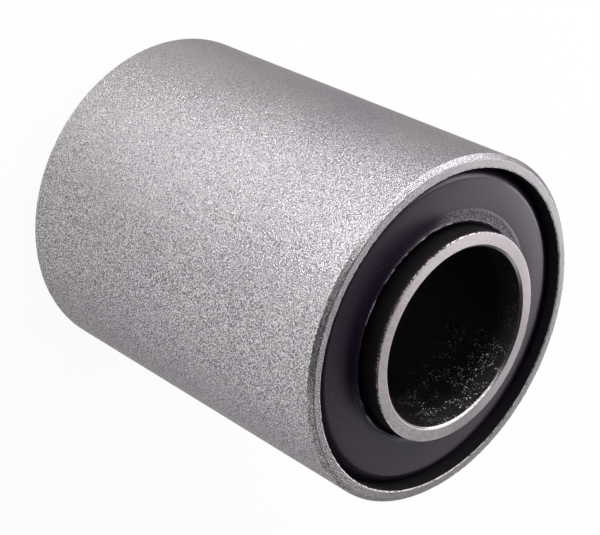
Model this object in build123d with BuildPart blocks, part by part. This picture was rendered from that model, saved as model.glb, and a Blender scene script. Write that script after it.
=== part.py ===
from build123d import *
import os

# Rubber metal bush, in millimetres. A rubber element is moulded between two steel sleeves and bonded to
# both, so that the sleeves can twist and tilt a little against each other. The bush stands on one end of
# its inner sleeve, its axis along +Z and the centre of that end at the origin. Both ends are alike.

# Outer sleeve: a cut length of thin steel tube, pressed into the eye of an arm or spring
outer_sleeve_diameter = 60.0
outer_sleeve_wall = 2.25
outer_sleeve_length = 72.5
outer_sleeve_lead_in = 0.8
outer_sleeve_bore_break = 0.3

# Inner sleeve: a steel tube that a bolt clamps end to end, so it stands proud of the outer sleeve
inner_sleeve_diameter = 36.0
inner_sleeve_wall = 2.5
inner_sleeve_projection = 2.25
inner_sleeve_bore_chamfer = 0.4
inner_sleeve_edge_break = 0.15

# Rubber element: it bulges a little at each end, so its end face has a flat crown just inside the outer
# sleeve. Towards the outer sleeve the crown falls away in a round shoulder. Near the inner sleeve it
# climbs in a curved lip to a thin crest, and a narrow groove parts that crest from the steel.
rubber_recess = 1.6
rubber_shoulder_width = 2.75
rubber_shoulder_drop = 1.8
rubber_lip_height = 0.35
rubber_lip_width = 1.35
rubber_lip_crest = 0.15
rubber_groove_width = 0.7
rubber_groove_depth = 0.8

# Sizes that follow from the ones above
outer_sleeve_radius = outer_sleeve_diameter / 2
outer_sleeve_bore_radius = outer_sleeve_radius - outer_sleeve_wall
inner_sleeve_radius = inner_sleeve_diameter / 2
inner_sleeve_bore_radius = inner_sleeve_radius - inner_sleeve_wall
inner_sleeve_length = outer_sleeve_length + 2 * inner_sleeve_projection

# Outer sleeve: the tube is cut to length, turned to a lead-in round both ends, and its bore deburred
with BuildPart() as outer_sleeve:
    with BuildSketch(Plane.XY.offset(inner_sleeve_projection)):
        Circle(outer_sleeve_radius)
        Circle(outer_sleeve_bore_radius, mode=Mode.SUBTRACT)
    extrude(amount=outer_sleeve_length)
    outside_edges = outer_sleeve.edges().filter_by(GeomType.CIRCLE).group_by(SortBy.RADIUS)[-1]
    chamfer(outside_edges, outer_sleeve_lead_in)
    bore_edges = outer_sleeve.edges().filter_by(GeomType.CIRCLE).group_by(SortBy.RADIUS)[0]
    chamfer(bore_edges, outer_sleeve_bore_break)
outer_sleeve.part.label = "outer_sleeve"

# Inner sleeve: both ends are faced square, the bore is chamfered for the bolt and the rim just broken
with BuildPart() as inner_sleeve:
    with BuildSketch(Plane.XY):
        Circle(inner_sleeve_radius)
        Circle(inner_sleeve_bore_radius, mode=Mode.SUBTRACT)
    extrude(amount=inner_sleeve_length)
    outside_edges = inner_sleeve.edges().filter_by(GeomType.CIRCLE).group_by(SortBy.RADIUS)[-1]
    chamfer(outside_edges, inner_sleeve_edge_break)
    bore_edges = inner_sleeve.edges().filter_by(GeomType.CIRCLE).group_by(SortBy.RADIUS)[0]
    chamfer(bore_edges, inner_sleeve_bore_chamfer)
inner_sleeve.part.label = "inner_sleeve"

# Rubber element: its section is drawn from the middle of its length up to one end face, mirrored to the
# other end and turned about the axis. The two sleeves were its mould, so their walls are its sides.
middle_height = inner_sleeve_length / 2
crown_height = outer_sleeve_length / 2 - rubber_recess
groove_top = inner_sleeve_radius + rubber_groove_width
lip_crest_height = crown_height + rubber_lip_height
lip_crest = (groove_top + rubber_lip_crest, lip_crest_height)
lip_foot = (lip_crest[0] + rubber_lip_width, crown_height)
shoulder_start = (outer_sleeve_bore_radius - rubber_shoulder_width, crown_height)
shoulder_end = (outer_sleeve_bore_radius, crown_height - rubber_shoulder_drop)
groove_floor = (inner_sleeve_radius, lip_crest_height - rubber_groove_depth)

with BuildPart() as rubber_element:
    with BuildSketch(Plane.XZ.shift_origin((0, 0, middle_height))):
        with BuildLine():
            Polyline((inner_sleeve_radius, 0), groove_floor, (groove_top, lip_crest_height), lip_crest)
            TangentArc(lip_foot, lip_crest, tangent=(-1, 0))
            Line(lip_foot, shoulder_start)
            TangentArc(shoulder_start, shoulder_end, tangent=(1, 0))
            Polyline(shoulder_end, (outer_sleeve_bore_radius, 0), (inner_sleeve_radius, 0))
        make_face()
        mirror(about=Plane.XZ)
    revolve(axis=Axis.Z)
rubber_element.part.label = "rubber_element"

os.makedirs("parts", exist_ok=True)
export_step(outer_sleeve.part, "parts/outer_sleeve.step")
export_step(inner_sleeve.part, "parts/inner_sleeve.step")
export_step(rubber_element.part, "parts/rubber_element.step")
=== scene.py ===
from math import cos, pi, radians, sin, tau

import bmesh
import bpy
from mathutils import Matrix, Vector, noise


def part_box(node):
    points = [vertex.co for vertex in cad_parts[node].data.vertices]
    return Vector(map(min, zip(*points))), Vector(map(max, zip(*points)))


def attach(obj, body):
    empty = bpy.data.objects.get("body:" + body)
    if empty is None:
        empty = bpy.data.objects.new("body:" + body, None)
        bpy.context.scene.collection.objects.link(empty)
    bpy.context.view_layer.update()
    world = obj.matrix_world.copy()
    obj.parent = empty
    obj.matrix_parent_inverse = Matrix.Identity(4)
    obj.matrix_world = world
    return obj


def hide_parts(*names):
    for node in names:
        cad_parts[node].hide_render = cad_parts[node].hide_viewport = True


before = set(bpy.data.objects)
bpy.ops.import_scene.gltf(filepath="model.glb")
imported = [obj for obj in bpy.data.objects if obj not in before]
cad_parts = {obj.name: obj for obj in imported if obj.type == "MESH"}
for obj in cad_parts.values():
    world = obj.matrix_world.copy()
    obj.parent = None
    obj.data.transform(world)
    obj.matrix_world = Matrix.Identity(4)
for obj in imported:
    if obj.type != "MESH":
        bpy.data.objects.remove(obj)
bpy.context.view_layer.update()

# ---------------------------------------------------------------------------------------------------
# Outer sleeve: a cut length of thin steel tube, pressed into the eye of an arm or a spring.
# Its ends are turned to a lead-in, then all of the outside is blasted to a matt grey. Inside, beyond
# the rubber, the bore keeps the black film of the bonding agent that was brushed on before moulding.
MM = 0.001
sleeve_low, sleeve_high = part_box("outer_sleeve")
_, rubber_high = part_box("rubber_element")
sleeve_radius = sleeve_high.x
sleeve_bore = rubber_high.x
middle = (sleeve_low.z + sleeve_high.z) / 2
half_length = (sleeve_high.z - sleeve_low.z) / 2
lead_in = 0.8 * MM
bore_break = 0.2 * MM
sharp_edge = 0.08 * MM
turning_steps = 720
crisp_angle = radians(8)
edge_wear = 0.10 * MM
lead_in_tear = 0.7 * MM
bore_tear = 0.6 * MM


def section_mesh(corners):
    """The section of a turned piece. Each corner has its radius, its height, how far it is cut and in how
    many facets, which round it. A cut of 0 leaves the corner sharp."""
    mesh = bmesh.new()
    points = [mesh.verts.new((x, 0, z)) for x, z, _, _ in corners]
    mesh.faces.new(points)
    for point, (_, _, cut, facets) in zip(points, corners):
        if cut:
            bmesh.ops.bevel(mesh, geom=[point], offset=cut, offset_type="OFFSET", segments=facets,
                            profile=0.5, affect="VERTICES", material=-1)
    return mesh


def soften_corners(mesh, roundness):
    """Rounds every corner that a section has by now, to take off what is still sharp."""
    bmesh.ops.bevel(mesh, geom=mesh.verts[:], offset=roundness, offset_type="OFFSET", segments=2,
                    profile=0.5, affect="VERTICES", material=-1)


def spin_section(mesh, steps):
    """Turns a section once round the axis and closes it."""
    bmesh.ops.delete(mesh, geom=mesh.faces[:], context="FACES_ONLY")
    bmesh.ops.spin(mesh, geom=mesh.verts[:] + mesh.edges[:], cent=(0, 0, 0), axis=(0, 0, 1),
                   angle=tau, steps=steps, use_merge=True)
    bmesh.ops.remove_doubles(mesh, verts=mesh.verts[:], dist=0.001 * MM)
    bmesh.ops.recalc_face_normals(mesh, faces=mesh.faces[:])


def fray(mesh, low_radius, high_radius, depth, size):
    """Moves an edge towards the axis and away from it, unevenly, and so leaves the face beside it flat."""
    for point in mesh.verts:
        if low_radius < point.co.xy.length < high_radius:
            point.co.xy *= 1 + depth * noise.noise(point.co / size) / point.co.xy.length


def add_piece(name, mesh, node):
    """Makes a finished mesh the piece that stands for a node of the model."""
    data = bpy.data.meshes.new(name)
    for face in mesh.faces:
        face.smooth = True
    for edge in mesh.edges:
        edge.smooth = edge.calc_face_angle(0) < crisp_angle
    mesh.to_mesh(data)
    mesh.free()
    piece = bpy.data.objects.new(name, data)
    bpy.context.scene.collection.objects.link(piece)
    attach(piece, "root")
    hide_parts(node)
    return piece


class Socket:
    """One output among a material's nodes. Python's arithmetic on it adds Math nodes."""

    def __init__(self, tree, output):
        self.tree = tree
        self.output = output

    def node(self, kind, settings, inputs, output=0):
        """Adds a node: its settings first, then a value or a link for each of its named inputs."""
        added = self.tree.nodes.new(kind)
        for name, value in settings.items():
            setattr(added, name, value)
        for name, value in inputs.items():
            if isinstance(value, Socket):
                self.tree.links.new(value.output, added.inputs[name])
            else:
                added.inputs[name].default_value = value
        return Socket(self.tree, added.outputs[output])

    def math(self, operation, first, second):
        return self.node("ShaderNodeMath", {"operation": operation}, {0: first, 1: second})

    def __add__(self, other):
        return self.math("ADD", self, other)

    def __radd__(self, other):
        return self.math("ADD", other, self)

    def __sub__(self, other):
        return self.math("SUBTRACT", self, other)

    def __rsub__(self, other):
        return self.math("SUBTRACT", other, self)

    def __mul__(self, other):
        return self.math("MULTIPLY", self, other)

    def __rmul__(self, other):
        return self.math("MULTIPLY", other, self)

    def __abs__(self):
        return self.math("ABSOLUTE", self, 0.0)


def new_finish(name):
    """An empty material, its shader node and its Object coordinates."""
    material = bpy.data.materials.new(name)
    material.use_nodes = True
    tree = material.node_tree
    place = Socket(tree, tree.nodes.new("ShaderNodeTexCoord").outputs["Object"])
    return material, tree.nodes["Principled BSDF"], place


def from_the_axis(place):
    """How a point of a turned piece lies from the axis: the way straight out to it, and its radius."""
    across = place.node("ShaderNodeVectorMath", {"operation": "MULTIPLY"}, {0: place, 1: (1, 1, 0)})
    radius = place.node("ShaderNodeVectorMath", {"operation": "LENGTH"}, {0: across}, "Value")
    return across, radius


def height_of(place):
    """How high a point of a piece lies above the floor."""
    return place.node("ShaderNodeSeparateXYZ", {}, {"Vector": place}, "Z")


def grain(place, size, detail=0.0, roughness=0.5):
    """Cloudy noise from 0 to 1 whose lumps are about that size."""
    return place.node("ShaderNodeTexNoise", {}, {"Vector": place, "Scale": 1 / size, "Detail": detail,
                                                 "Roughness": roughness})


def between(value, start, end):
    """0 up to the start, 1 past the end, and smooth from one to the other."""
    return value.node("ShaderNodeMapRange", {"interpolation_type": "SMOOTHSTEP"},
                      {"Value": value, "From Min": start, "From Max": end})


def facing(across, azimuth, full, none):
    """How far a side faces an azimuth: 1 within the full angle of it, 0 past the none angle, in degrees."""
    direction = (cos(radians(azimuth)), sin(radians(azimuth)), 0)
    level = across.node("ShaderNodeVectorMath", {"operation": "NORMALIZE"}, {0: across})
    side = level.node("ShaderNodeVectorMath", {"operation": "DOT_PRODUCT"}, {0: level, 1: direction},
                      "Value")
    return between(side, cos(radians(none)), cos(radians(full)))


def tint(amount, under, over):
    """One colour over another, as strongly as the amount says."""
    under_socket, over_socket, mixed_color = 6, 7, 2
    colors = {"Factor": amount}
    for socket, color in ((under_socket, under), (over_socket, over)):
        colors[socket] = color if isinstance(color, Socket) else (*color, 1)
    return amount.node("ShaderNodeMix", {"data_type": "RGBA"}, colors, mixed_color)


def relief(height):
    """The bump of a height given in millimetres."""
    return height.node("ShaderNodeBump", {}, {"Height": height, "Distance": MM, "Strength": 1.0})


def finish_with(shader, fixed, varying):
    """Sets a shader's fixed values and links what changes over the surface."""
    for name, value in fixed.items():
        shader.inputs[name].default_value = value
    for name, value in varying.items():
        value.tree.links.new(value.output, shader.inputs[name])


steel = section_mesh([
    (sleeve_bore, sleeve_low.z, bore_break, 1),
    (sleeve_radius, sleeve_low.z, lead_in, 1),
    (sleeve_radius, sleeve_high.z, lead_in, 1),
    (sleeve_bore, sleeve_high.z, bore_break, 1)])
soften_corners(steel, sharp_edge)
spin_section(steel, turning_steps)
fray(steel, sleeve_radius - 1.2 * lead_in, sleeve_radius - 0.5 * lead_in, edge_wear, lead_in_tear)
fray(steel, sleeve_bore + 0.5 * bore_break, sleeve_bore + 1.5 * bore_break, edge_wear, bore_tear)
outer = add_piece("outer_tube", steel, "outer_sleeve")

material, shader, place = new_finish("matt_steel")
across, radius = from_the_axis(place)
height = height_of(place)
reach = abs(height - middle)
on_rim = between(reach, half_length - 0.10 * MM, half_length - 0.04 * MM)
on_lead_in = between(reach, half_length - lead_in, half_length - lead_in + 0.1 * MM) * (1 - on_rim)
on_break = between(reach, half_length - 0.35 * MM, half_length - 0.20 * MM)
on_break = on_break * (1 - between(radius, sleeve_bore + 0.16 * MM, sleeve_bore + 0.26 * MM))
in_bore = 1 - between(radius, sleeve_bore + 0.02 * MM, sleeve_bore + 0.06 * MM)
up_the_side = between(height, 4 * MM, 45 * MM)

# What the blasting left, from the smallest pits to the clouds that are almost too soft to see
pits = grain(place, 0.20 * MM, detail=1.0, roughness=0.6)
speckle = grain(place, 0.18 * MM, detail=0.5)
mottles = grain(place, 0.23 * MM, detail=1.0)
flecks = between(grain(place, 0.5 * MM, detail=1.0), 0.50, 0.68)
lumps = grain(place, 0.7 * MM, detail=1.0)
patches = grain(place, 5 * MM, detail=3.0, roughness=0.6)
clouds = between(grain(place, 22 * MM, detail=2.0), 0.40, 0.62)

# The sides on which the finish differs or light and shade are painted, each by the azimuth that it faces
smooth_side = facing(across, 180, full=25, none=62)
painted_highlight_side = facing(across, -124, full=16, none=50) * (1 - between(height, 0.0, 62 * MM))
lead_in_shade_side = facing(across, -77, full=8, none=28)
mottled_side = facing(across, -38, full=22, none=60)
shaded_side = facing(across, 65, full=30, none=80)
calm = 1 - 0.45 * smooth_side

steel_shade = (0.30, 0.28, 0.30)
steel_light = (0.385, 0.37, 0.378)
painted_highlight_steel = (0.60, 0.58, 0.59)
speckle_dark = (0.14, 0.13, 0.14)
speckle_light = (0.56, 0.54, 0.56)
fleck_color = (0.42, 0.40, 0.42)
mottle_dark = (0.11, 0.10, 0.11)
mottle_light = (0.68, 0.66, 0.68)
darkened_steel = (0.15, 0.145, 0.155)
painted_shade_steel = (0.055, 0.053, 0.055)
edge_highlight_steel = (0.72, 0.70, 0.72)
bonding_film = (0.012, 0.010, 0.013)

steel_color = tint(patches * 0.6 + clouds * 0.4, steel_shade, steel_light)
# Painted highlight: the low part of the side facing the key lamp is lightened where its highlight falls
steel_color = tint(painted_highlight_side * 0.62, steel_color, painted_highlight_steel)
speckled = (0.75 + 0.1 * up_the_side) * calm - 0.4 * on_rim
steel_color = tint(between(speckle, 0.50, 0.38) * speckled, steel_color, speckle_dark)
steel_color = tint(between(speckle, 0.50, 0.62) * speckled, steel_color, speckle_light)
steel_color = tint(flecks * 0.3, steel_color, fleck_color)
mottled = mottled_side * 0.85
steel_color = tint(between(mottles, 0.50, 0.36) * mottled, steel_color, mottle_dark)
steel_color = tint(between(mottles, 0.50, 0.64) * mottled, steel_color, mottle_light)
# Painted shade: one side of the rim face is darkened
steel_color = tint(on_rim * shaded_side * 0.4, steel_color, darkened_steel)
steel_color = tint(on_lead_in * 0.25, steel_color, darkened_steel)
# Painted shade: the lead-in is darkened on the side facing -77 degrees, a painted dark reflection
steel_color = tint(on_lead_in * lead_in_shade_side * 0.7, steel_color, painted_shade_steel)
# Painted highlight: a broken bright line along the rim's inner edge break
steel_color = tint(on_break * between(lumps, 0.42, 0.52), steel_color, edge_highlight_steel)
steel_color = tint(in_bore, steel_color, bonding_film)
metal = 1 - in_bore
rough = 0.33 + 0.2 * in_bore + 0.07 * on_rim
pit_depth = 0.17
lump_depth = 0.05
depth = (pits * pit_depth + lumps * lump_depth) * (0.8 + 0.3 * up_the_side) * calm
depth = depth * (1 - in_bore * 0.7) * (1 - on_rim * 0.6)
finish_with(shader,
            {"IOR": 1.5, "Specular Tint": (0.40, 0.38, 0.40, 1)},
            {"Base Color": steel_color, "Metallic": metal, "Roughness": rough, "Normal": relief(depth)})
outer.data.materials.append(material)

# ---------------------------------------------------------------------------------------------------
# Inner sleeve: a smaller and slightly longer steel tube, which a bolt clamps end to end. Its ends are
# faced bright after moulding. The outside keeps a black film of bonding agent, browner towards the face
# and torn off along the edge by the facing cut, and the bore is left in dark mill scale with bright specks.
inner_low, inner_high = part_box("inner_sleeve")
inner_radius = inner_high.x
inner_bore = 15.5 * MM
inner_middle = (inner_low.z + inner_high.z) / 2
half_inner = (inner_high.z - inner_low.z) / 2
bolt_chamfer = 0.4 * MM
edge_break = 0.15 * MM
faced_edge = 0.04 * MM
fine_turning_steps = 1080
edge_tear = 0.30 * MM

steel = section_mesh([
    (inner_bore, inner_low.z, bolt_chamfer, 1),
    (inner_radius, inner_low.z, edge_break, 1),
    (inner_radius, inner_high.z, edge_break, 1),
    (inner_bore, inner_high.z, bolt_chamfer, 1)])
soften_corners(steel, faced_edge)
spin_section(steel, fine_turning_steps)
fray(steel, inner_radius - 1.5 * edge_break, inner_radius - 0.5 * edge_break, edge_wear, edge_tear)
inner = add_piece("inner_tube", steel, "inner_sleeve")

material, shader, place = new_finish("faced_steel")
across, radius = from_the_axis(place)
reach = abs(height_of(place) - inner_middle)
in_bore = 1 - between(radius, inner_bore + 0.02 * MM, inner_bore + 0.08 * MM)
chamfer_end = inner_bore + bolt_chamfer
on_face = between(radius, chamfer_end - 0.10 * MM, chamfer_end)
on_chamfer = 1 - on_face
near_mouth = between(reach, half_inner - 17 * MM, half_inner - 4 * MM)

# The film on the outside ends at the face, and teeth of it are torn away or smeared over the edge
torn_side = facing(across, -100, full=65, none=92)
teeth = grain(place, 0.32 * MM, detail=2.0, roughness=0.6)
tear = torn_side * ((teeth - 0.5) * (1.8 * MM) + 0.05 * MM)
from_edge = radius - inner_radius + half_inner - reach
outside = between(from_edge + tear, 0.10 * MM, 0.16 * MM)
frayed_reach = reach + (grain(place, 0.5 * MM, detail=2.0) - 0.5) * (1.0 * MM)
browner_near_face = between(frayed_reach, half_inner - 0.9 * MM, half_inner - 0.1 * MM)
film_black = (0.0008, 0.0006, 0.0010)
film_brown = (0.014, 0.009, 0.008)
film_color = tint(browner_near_face, film_black, film_brown)

# The bore is black with scale and has bright metal specks, kept near the mouth and on one side: partly
# flakes, partly painted glints where light reaches in
residue = between(grain(place, 2.5 * MM, detail=2.0, roughness=0.6), 0.42, 0.60)
glint_side = facing(across, 62, full=22, none=45)
specks = between(grain(place, 0.30 * MM, detail=1.0), 0.60, 0.70) * residue * (0.12 + glint_side)
glint_specks = specks * near_mouth
scale_black = (0.006, 0.005, 0.0055)
glint_speck_color = (0.85, 0.81, 0.78)
bore_color = tint(glint_specks, scale_black, glint_speck_color)

# The faced end has turned lines, nicks, smears and painted shade on one side; its chamfer has painted
# glints, dimmed by painted shade on all but one side
groove_lines = place.node("ShaderNodeTexNoise", {"noise_dimensions": "1D"},
                          {"W": radius, "Scale": 1 / (0.12 * MM), "Detail": 1.0})
nicks = between(grain(place, 0.24 * MM, detail=1.0), 0.44, 0.60) * facing(across, -50, full=40, none=80)
smears = between(grain(place, 0.9 * MM, detail=2.0, roughness=0.7), 0.45, 0.70)
smeared = smears * (0.15 + 0.35 * facing(across, 40, full=40, none=90))
shaded_side = facing(across, 78, full=25, none=60)
chamfer_lit_side = facing(across, 50, full=22, none=44)
painted_glints = between(grain(place, 0.25 * MM, detail=1.0), 0.45, 0.60)
face_shade = (0.43, 0.39, 0.40)
face_light = (0.51, 0.46, 0.48)
painted_shade_face = (0.20, 0.19, 0.205)
nick_color = (0.70, 0.655, 0.65)
smear_color = (0.26, 0.24, 0.25)
painted_glint_color = (0.90, 0.86, 0.82)
painted_chamfer_shade = (0.07, 0.065, 0.065)
face_color = tint(groove_lines, face_shade, face_light)
# Painted shade: one side of the faced end is darkened
face_color = tint(on_face * shaded_side * 0.6, face_color, painted_shade_face)
face_color = tint(on_face * nicks * 0.6, face_color, nick_color)
face_color = tint(on_face * smeared, face_color, smear_color)
# Painted highlight on the chamfer, then painted shade on all but its lit side
face_color = tint(on_chamfer * painted_glints, face_color, painted_glint_color)
face_color = tint(on_chamfer * (1 - chamfer_lit_side) * 0.75, face_color, painted_chamfer_shade)

color = tint(outside, face_color, film_color)
color = tint(in_bore, color, bore_color)
metal = 1 - outside - in_bore * (1 - glint_specks)
rough = 0.30 + 0.20 * outside + 0.06 * in_bore
line_depth = 0.004
film_depth = 0.02
scale_depth = 0.25
turned_relief = groove_lines * line_depth * (1 - outside) * (1 - in_bore)
scaly_relief = grain(place, 0.3 * MM, detail=2.0) * (film_depth * outside + scale_depth * in_bore)
finish_with(shader,
            {"IOR": 1.5, "Specular IOR Level": 0.25, "Anisotropic": 0.6},
            {"Base Color": color, "Metallic": metal, "Roughness": rough,
             "Normal": relief(turned_relief + scaly_relief)})
inner.data.materials.append(material)

# ---------------------------------------------------------------------------------------------------
# Rubber element: black rubber moulded between the two sleeves and bonded to both. Each end bulges to a
# low crown, falls off in a round shoulder at the outer sleeve, and climbs in a thin lip at the inner.
# A narrow groove parts the lip from the steel, and the lip's skin is rough on one side.
recess = 1.6 * MM
groove_width = 0.7 * MM
groove_depth = 0.8 * MM
crest_width = 0.15 * MM
lip_height = 0.35 * MM
lip_bead = 0.20 * MM
lip_bead_drop = 0.22 * MM
lip_foot = 19.6 * MM
crown_radius = 22.8 * MM
crown_rise = 0.12 * MM
shoulder_start = 26.30 * MM
shoulder_drop = 1.8 * MM
crest_edge = 0.03 * MM
crest_round = 0.10 * MM
bead_round = 0.10 * MM
foot_round = 0.45 * MM
crown_round = 2.6 * MM
shoulder_round = 0.85 * MM
crest_wear = 0.25 * MM
crest_tear = 1.5 * MM

crown = sleeve_high.z - middle - recess
crest = crown + lip_height
crest_inside = inner_radius + groove_width
crest_outside = crest_inside + crest_width
upper_section = [
    (inner_radius, crest - groove_depth, 0, 1),
    (crest_inside, crest, crest_edge, 2),
    (crest_outside, crest, crest_round, 4),
    (crest_outside + lip_bead, crest - lip_bead_drop, bead_round, 4),
    (lip_foot, crown, foot_round, 6),
    (crown_radius, crown + crown_rise, crown_round, 6),
    (shoulder_start, crown, shoulder_round, 8),
    (sleeve_bore, crown - shoulder_drop, 0, 1)]
upper_end = [(x, z + middle, cut, facets) for x, z, cut, facets in upper_section]
lower_end = [(x, -z + middle, cut, facets) for x, z, cut, facets in reversed(upper_section)]
rubber = section_mesh(upper_end + lower_end)
spin_section(rubber, turning_steps)
fray(rubber, crest_inside - 0.1 * MM, crest_outside + 0.1 * MM, crest_wear, crest_tear)
rubber_piece = add_piece("rubber_body", rubber, "rubber_element")

material, shader, place = new_finish("black_rubber")
across, radius = from_the_axis(place)
rough_lip = (1 - between(radius, 20.1 * MM, 20.8 * MM)) * facing(across, -175, full=22, none=42)
past_crest = between(radius, crest_outside - 0.02 * MM, crest_outside + 0.04 * MM)
on_crest = between(radius, crest_inside - 0.10 * MM, crest_inside - 0.04 * MM) * (1 - past_crest)
fine = grain(place, 0.28 * MM, detail=1.0)
bloom = grain(place, 6 * MM, detail=3.0, roughness=0.6)
crest_highlight_breaks = between(grain(place, 0.9 * MM, detail=1.0), 0.40, 0.55) * facing(across, -120, full=30, none=60)
dust = between(grain(place, 0.35 * MM, detail=1.0), 0.70, 0.76) * facing(across, -55, full=35, none=90)
rubber_black = (0.012, 0.007, 0.017)
rubber_bloom = (0.019, 0.012, 0.026)
rough_rubber = (0.15, 0.13, 0.16)
painted_crest_highlight = (0.34, 0.31, 0.35)
dust_color = (0.16, 0.14, 0.16)
color = tint(bloom, rubber_black, rubber_bloom)
color = tint(rough_lip * between(fine, 0.5, 0.58), color, rough_rubber)
# Painted highlight: a thin broken light line along the lip's crest on one side
color = tint(on_crest * crest_highlight_breaks, color, painted_crest_highlight)
color = tint(dust * 0.8, color, dust_color)
rough = 0.27 + 0.06 * bloom + 0.2 * rough_lip
skin_depth = 0.006
lip_depth = 0.16
depth = fine * (skin_depth + lip_depth * rough_lip)
finish_with(shader,
            {"IOR": 1.5, "Specular Tint": (0.88, 0.77, 0.94, 1)},
            {"Base Color": color, "Roughness": rough, "Normal": relief(depth)})
rubber_piece.data.materials.append(material)

# ---------------------------------------------------------------------------------------------------
# Floor: a white table. The camera and the reflections see most of it as plain white, whatever the
# lamps do, and the rest as a matt surface, so that the bush still leaves its shadow.
floor_size = 12
table_color = (0.85, 0.85, 0.85, 1)
shown_white = 0.94
bpy.ops.mesh.primitive_plane_add(size=floor_size)
floor = bpy.context.object
floor.name = "floor"
material = bpy.data.materials.new("white_table")
material.use_nodes = True
tree = material.node_tree
tree.nodes.clear()
path = tree.nodes.new("ShaderNodeLightPath")
camera_ray = Socket(tree, path.outputs["Is Camera Ray"])
glossy_ray = Socket(tree, path.outputs["Is Glossy Ray"])
through_ray = Socket(tree, path.outputs["Is Transmission Ray"])
seen = camera_ray.math("MAXIMUM", camera_ray, glossy_ray)
seen = seen.math("MAXIMUM", seen, through_ray)
table = seen.node("ShaderNodeBsdfDiffuse", {}, {"Color": table_color})
white = seen.node("ShaderNodeEmission", {}, {"Strength": 1.0})
surface = seen.node("ShaderNodeMixShader", {}, {0: seen * shown_white, 1: table, 2: white})
output = tree.nodes.new("ShaderNodeOutputMaterial")
tree.links.new(surface.output, output.inputs["Surface"])
floor.data.materials.append(material)

# ---------------------------------------------------------------------------------------------------
# Studio: a dim grey room with soft lamps round the bush. The low ones light the outer sleeve from its
# sides, and the high and far ones are what the faces at its upper end mirror.
room_gray = (0.03, 0.03, 0.03, 1)
lamp_distance = 0.6
lit_point = Vector((0, 0, 50 * MM))
world = bpy.data.worlds.new("studio")
bpy.context.scene.world = world
world.use_nodes = True
world.node_tree.nodes["Background"].inputs["Color"].default_value = room_gray


def add_softbox(name, azimuth, elevation, width, height, brightness):
    """A soft lamp that shines on the bush from a direction in degrees, with its size and its brightness."""
    lamp_data = bpy.data.lights.new(name, "AREA")
    lamp_data.shape = "RECTANGLE"
    lamp_data.size = width
    lamp_data.size_y = height
    lamp_data.energy = brightness * pi * width * height
    lamp = bpy.data.objects.new(name, lamp_data)
    bpy.context.scene.collection.objects.link(lamp)
    level = cos(radians(elevation))
    toward = Vector((cos(radians(azimuth)) * level, sin(radians(azimuth)) * level, sin(radians(elevation))))
    turn = (-toward).to_track_quat("-Z", "Y").to_matrix().to_4x4()
    lamp.matrix_world = Matrix.Translation(lit_point + toward * lamp_distance) @ turn


add_softbox("key_lamp", azimuth=-124, elevation=4, width=1.00, height=0.20, brightness=9.5)
add_softbox("key_core", azimuth=-120, elevation=4, width=0.30, height=0.20, brightness=9.5)
add_softbox("high_lamp", azimuth=-156, elevation=46, width=0.50, height=0.26, brightness=1.7)
add_softbox("left_lamp", azimuth=180, elevation=14, width=0.30, height=0.30, brightness=8.0)
add_softbox("left_far_lamp", azimuth=164, elevation=28, width=0.40, height=0.22, brightness=2.6)
add_softbox("right_lamp", azimuth=-32, elevation=4, width=0.30, height=0.20, brightness=6.0)
add_softbox("right_far_lamp", azimuth=30, elevation=14, width=0.30, height=0.30, brightness=2.2)
add_softbox("far_lamp", azimuth=105, elevation=18, width=0.90, height=0.28, brightness=1.8)
add_softbox("far_high_lamp", azimuth=105, elevation=42, width=0.90, height=0.30, brightness=0.34)
add_softbox("far_window", azimuth=105, elevation=25, width=0.15, height=0.17, brightness=5.8)
add_softbox("far_left_window", azimuth=135, elevation=45, width=0.15, height=0.20, brightness=5.6)

# ---------------------------------------------------------------------------------------------------
# Camera: looks down on the upper end from about 0.3 m, through a long lens. It is rolled over, so that
# the standing bush seems to lie on its side.
lens_length = 101.53
camera_place = Vector((0, -222.55, 232.98)) * MM
camera_aim = Vector((1.17, 0, 40.6)) * MM
camera_roll = radians(116.69)
camera_data = bpy.data.cameras.new("camera")
camera_data.sensor_width = 36
camera_data.lens = lens_length
camera = bpy.data.objects.new("camera", camera_data)
bpy.context.scene.collection.objects.link(camera)
look = (camera_aim - camera_place).to_track_quat("-Z", "Y").to_matrix().to_4x4()
camera.matrix_world = Matrix.Translation(camera_place) @ look @ Matrix.Rotation(camera_roll, 4, "Z")
bpy.context.scene.camera = camera
bpy.context.scene.view_settings.view_transform = "Standard"
